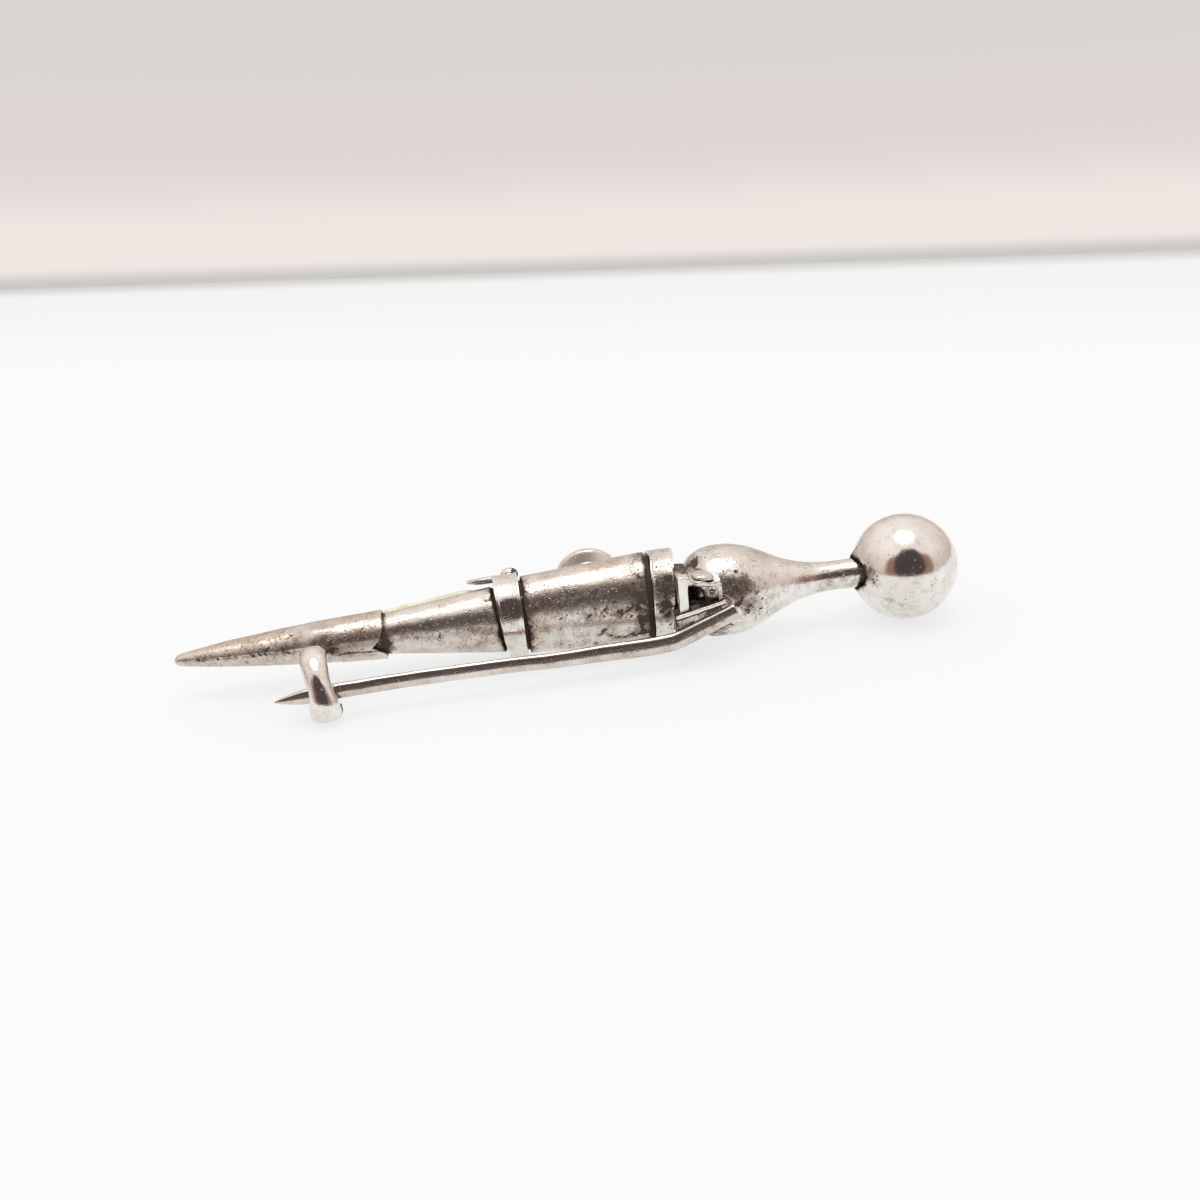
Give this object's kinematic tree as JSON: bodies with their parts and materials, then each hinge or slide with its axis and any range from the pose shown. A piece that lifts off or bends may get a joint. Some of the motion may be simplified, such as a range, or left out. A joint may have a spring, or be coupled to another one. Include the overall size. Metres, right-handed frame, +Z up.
{
  "type": "kilt pin brooch",
  "caption": "Silver kilt pin shaped as a sheathed dirk: tapering banded scabbard with a stone panel, baluster handle with ball end, hinged wire pin and C catch.",
  "frame": {"origin": "centre of the brooch's plan as it lies, on the floor", "axes": "+X from the scabbard's tip towards the ball, -Y the back with the pin, +Y the front with the stone and the boss, +Z up as it lies on its ball, throat band and catch"},
  "size_m": [0.0599, 0.0138, 0.0082],
  "materials": {
    "bright_silver": "hand-polished silver with fine wear",
    "worn_silver": "worn silver with pits and brown tarnish",
    "dark_silver": "silver darkened by brown-black tarnish",
    "pale_stone": "polished translucent yellow-green stone"
  },
  "bodies": {
    "brooch": {"chape": "worn_silver", "catch": "bright_silver", "lower_scabbard": "bright_silver", "stone": "pale_stone", "middle_band": "bright_silver", "upper_scabbard": "worn_silver", "boss": "bright_silver", "throat_band": "bright_silver", "handle": "worn_silver", "ball": "bright_silver", "hinge_bracket": "dark_silver", "rivet": "bright_silver"},
    "pin": {"pin_knuckle": "dark_silver", "pin_stem": "bright_silver"}
  },
  "joints": [
    {"name": "pin_hinge", "type": "hinge", "parent": "brooch", "child": "pin", "pos_m": [0.00999, -0.00202, 0.00443], "axis": [-0.2344, 0, 0.9721], "range_deg": [0, 22], "deforming": ["pin_stem"]}
  ]
}
